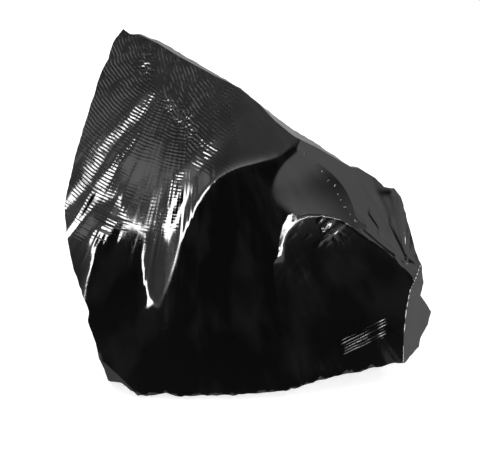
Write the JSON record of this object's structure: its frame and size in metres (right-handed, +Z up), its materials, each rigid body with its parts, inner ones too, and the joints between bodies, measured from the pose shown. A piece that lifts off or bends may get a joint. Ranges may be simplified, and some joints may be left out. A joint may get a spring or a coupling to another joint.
{
  "type": "obsidian chunk",
  "caption": "Chunk of glossy black obsidian with shell-like fracture faces, sharp ridges and a flat underside to rest on.",
  "frame": {"origin": "centre of the bounding box, at the level of the flat underside that the stone rests on", "axes": "+X across the large main fracture face, +Y from that face to the hidden back, +Z up"},
  "size_m": [0.0954, 0.0556, 0.0813],
  "materials": {
    "obsidian": "polished black volcanic glass, as broken"
  },
  "bodies": {
    "root": {"obsidian_chunk": "obsidian"}
  },
  "joints": []
}
